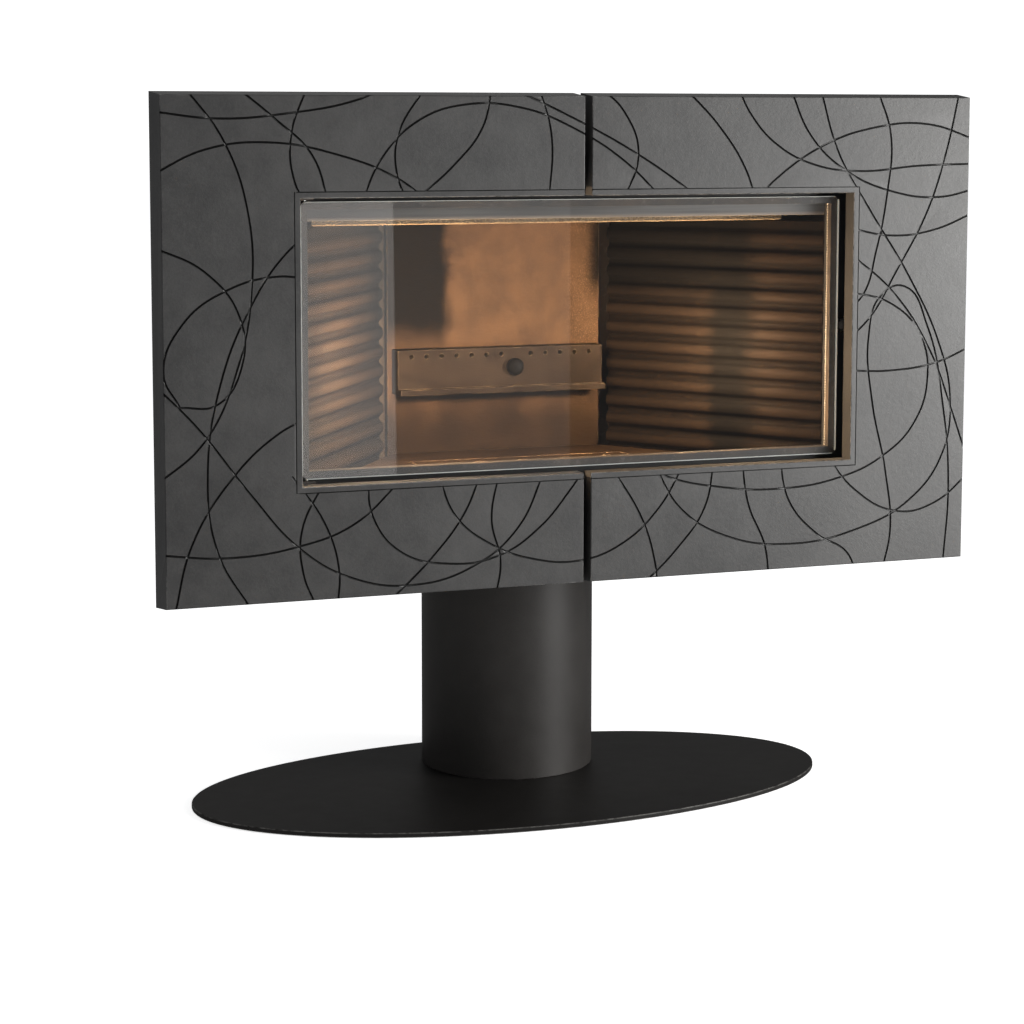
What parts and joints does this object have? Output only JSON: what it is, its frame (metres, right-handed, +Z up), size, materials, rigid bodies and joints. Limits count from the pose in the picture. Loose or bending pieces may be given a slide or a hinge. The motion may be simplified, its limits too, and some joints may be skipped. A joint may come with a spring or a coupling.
{
  "type": "wood burning stove",
  "caption": "Wood burning stove with a wide frameless glass door in a split cast facade, on a round pedestal and an oval floor plate.",
  "frame": {"origin": "on the floor under the middle of the bounding box", "axes": "+X to the right seen from the front, -Y out of the glass door, +Z up"},
  "size_m": [1.008, 0.468, 0.854],
  "materials": {
    "cast_facade": "matt dark grey stove paint on fine sand-cast iron",
    "satin_black": "satin black stove paint",
    "black_sheet": "matt black painted sheet steel",
    "boiler_plate": "heat-darkened boiler plate",
    "fire_cast_iron": "sooted cast iron, browned by heat",
    "bright_steel": "plated steel",
    "vermiculite_board": "pressed vermiculite",
    "ceramic_glass": "clear ceramic glass",
    "rope_seal": "braided glass-fibre rope"
  },
  "bodies": {
    "stove": {"air_intake_spigot": "black_sheet", "air_wash_rail": "boiler_plate", "ash_well": "boiler_plate", "base_plate": "satin_black", "casing_back": "black_sheet", "casing_bottom": "black_sheet", "casing_left": "black_sheet", "casing_right": "black_sheet", "casing_top": "black_sheet", "catch_housing": "boiler_plate", "facade_left": "cast_facade", "facade_right": "cast_facade", "facade_screw_1": "bright_steel", "facade_screw_2": "bright_steel", "facade_screw_3": "bright_steel", "facade_screw_4": "bright_steel", "facade_screw_5": "bright_steel", "facade_screw_6": "bright_steel", "firebox_back": "boiler_plate", "firebox_floor": "boiler_plate", "firebox_left": "boiler_plate", "firebox_right": "boiler_plate", "firebox_roof": "boiler_plate", "flue_collar": "boiler_plate", "foot_bolt_1": "bright_steel", "foot_bolt_2": "bright_steel", "foot_bolt_3": "bright_steel", "foot_bolt_4": "bright_steel", "front_frame": "black_sheet", "head_bolt_1": "bright_steel", "head_bolt_2": "bright_steel", "head_bolt_3": "bright_steel", "head_bolt_4": "bright_steel", "hearth_plate": "fire_cast_iron", "hinge_bracket_bottom": "boiler_plate", "hinge_bracket_top": "boiler_plate", "liner_back": "fire_cast_iron", "liner_left": "fire_cast_iron", "liner_right": "fire_cast_iron", "manifold_bolt": "satin_black", "pedestal_foot_ring": "boiler_plate", "pedestal_head_ring": "boiler_plate", "pedestal_tube": "satin_black", "rear_air_manifold": "fire_cast_iron"},
    "door": {"door_glass": "ceramic_glass", "door_frame": "boiler_plate", "door_gasket": "rope_seal", "hinge_pin_top": "bright_steel", "hinge_pin_bottom": "bright_steel", "catch_strike": "boiler_plate"},
    "catch": {"catch_plunger": "bright_steel"},
    "roller": {"catch_roller": "boiler_plate"},
    "ash_pan": {"ash_pan": "boiler_plate"},
    "grate": {"grate": "fire_cast_iron"},
    "baffle": {"baffle": "vermiculite_board"},
    "primary_air": {"primary_air_slider": "boiler_plate", "primary_air_knob": "satin_black"},
    "air_wash": {"air_wash_slider": "boiler_plate", "air_wash_knob": "satin_black"}
  },
  "joints": [
    {"name": "door_hinge", "type": "hinge", "parent": "stove", "child": "door", "pos_m": [-0.331, -0.1685, 0.5745], "axis": [0, 0, -1], "range_deg": [0, 95]},
    {"name": "catch_press", "type": "slide", "parent": "stove", "child": "catch", "axis": [1, 0, 0], "range_m": [0, 0.003], "stiffness_N_per_m": 1200, "springref_m": -0.002},
    {"name": "roller_turn", "type": "hinge", "parent": "catch", "child": "roller", "pos_m": [0.3457, -0.1677, 0.5745], "axis": [0, 0, 1], "continuous": true},
    {"name": "ash_pan_lift", "type": "slide", "parent": "stove", "child": "ash_pan", "axis": [0, 0, 1], "range_m": [0, 0.1]},
    {"name": "grate_lift", "type": "slide", "parent": "ash_pan", "child": "grate", "axis": [0, 0, 1], "range_m": [0, 0.12]},
    {"name": "baffle_lift", "type": "slide", "parent": "stove", "child": "baffle", "axis": [0, 0, 1], "range_m": [0, 0.03]},
    {"name": "primary_air_slide", "type": "slide", "parent": "stove", "child": "primary_air", "axis": [1, 0, 0], "range_m": [0, 0.024]},
    {"name": "air_wash_slide", "type": "slide", "parent": "stove", "child": "air_wash", "axis": [1, 0, 0], "range_m": [0, 0.024]}
  ]
}
